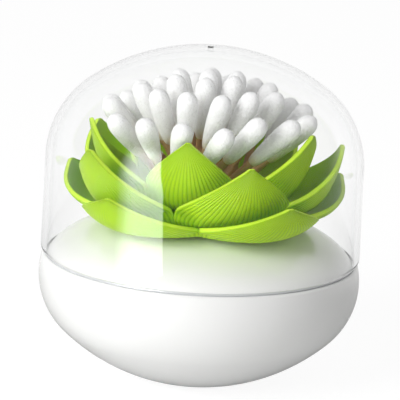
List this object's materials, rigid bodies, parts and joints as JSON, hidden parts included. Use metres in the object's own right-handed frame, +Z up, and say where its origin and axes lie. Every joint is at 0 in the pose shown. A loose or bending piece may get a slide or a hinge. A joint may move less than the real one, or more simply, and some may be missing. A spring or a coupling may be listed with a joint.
{
  "type": "cotton swab holder",
  "caption": "Round-bottomed white base with a convex deck, a three-tier green lotus holding a sheaf of cotton swabs, and a clear lift-off dome.",
  "frame": {"origin": "centre of the flat foot", "axes": "+Z up along the axis of the base and cover, -Y towards the front of the flower"},
  "size_m": [0.0952, 0.0952, 0.0997],
  "materials": {
    "white_shell": "glossy white moulded plastic",
    "white_inner": "plain white moulded plastic",
    "petal_green": "satin lime green moulded plastic with fine ribs",
    "clear_cover": "clear polished moulded plastic",
    "ballast_iron": "plain iron",
    "screw_steel": "zinc-plated steel",
    "swab": "white cotton buds on a pale brown stick"
  },
  "bodies": {
    "holder": {"base_bowl": "white_shell", "ballast_disc": "ballast_iron", "ballast_screw": "screw_steel", "swab_cup": "white_inner", "deck": "white_shell", "petals_lower": "petal_green", "petals_middle": "petal_green", "petals_inner": "petal_green", "swab_01": "swab", "swab_02": "swab", "swab_03": "swab", "swab_04": "swab", "swab_05": "swab", "swab_06": "swab", "swab_07": "swab", "swab_08": "swab", "swab_09": "swab", "swab_10": "swab", "swab_11": "swab", "swab_12": "swab", "swab_13": "swab", "swab_14": "swab", "swab_15": "swab", "swab_16": "swab", "swab_17": "swab", "swab_18": "swab", "swab_19": "swab", "swab_20": "swab", "swab_21": "swab", "swab_22": "swab", "swab_23": "swab", "swab_24": "swab", "swab_25": "swab", "swab_26": "swab", "swab_27": "swab", "swab_28": "swab", "swab_29": "swab", "swab_30": "swab", "swab_31": "swab", "swab_32": "swab", "swab_33": "swab", "swab_34": "swab", "swab_35": "swab"},
    "cover": {"dome_cover": "clear_cover"}
  },
  "joints": [
    {"name": "cover_lift", "type": "slide", "parent": "holder", "child": "cover", "axis": [0, 0, 1], "range_m": [0, 0.075]}
  ]
}
